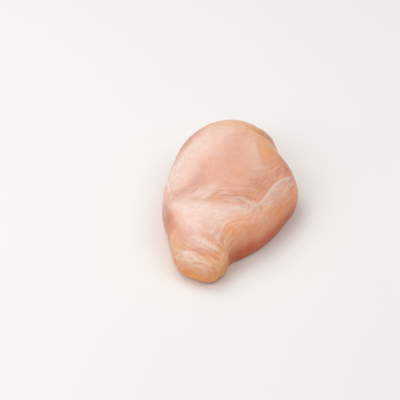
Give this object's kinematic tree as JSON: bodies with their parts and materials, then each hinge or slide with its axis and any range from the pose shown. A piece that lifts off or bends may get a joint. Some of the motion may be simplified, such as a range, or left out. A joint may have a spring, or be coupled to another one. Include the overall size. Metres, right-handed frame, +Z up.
{
  "type": "raw chicken breast",
  "caption": "Raw boneless, skinless chicken breast lying smooth side up: a broad domed end, a fold across the waist and a narrow rounded tail.",
  "frame": {"origin": "on the surface it rests on, under the middle of the piece's box", "axes": "+Z up, +Y from the narrow tail to the wide shoulder end, +X to the side that carries the tendon"},
  "size_m": [0.1016, 0.1802, 0.0445],
  "materials": {
    "raw_chicken": "moist satin raw meat"
  },
  "bodies": {
    "root": {"chicken_breast": "raw_chicken"}
  },
  "joints": []
}
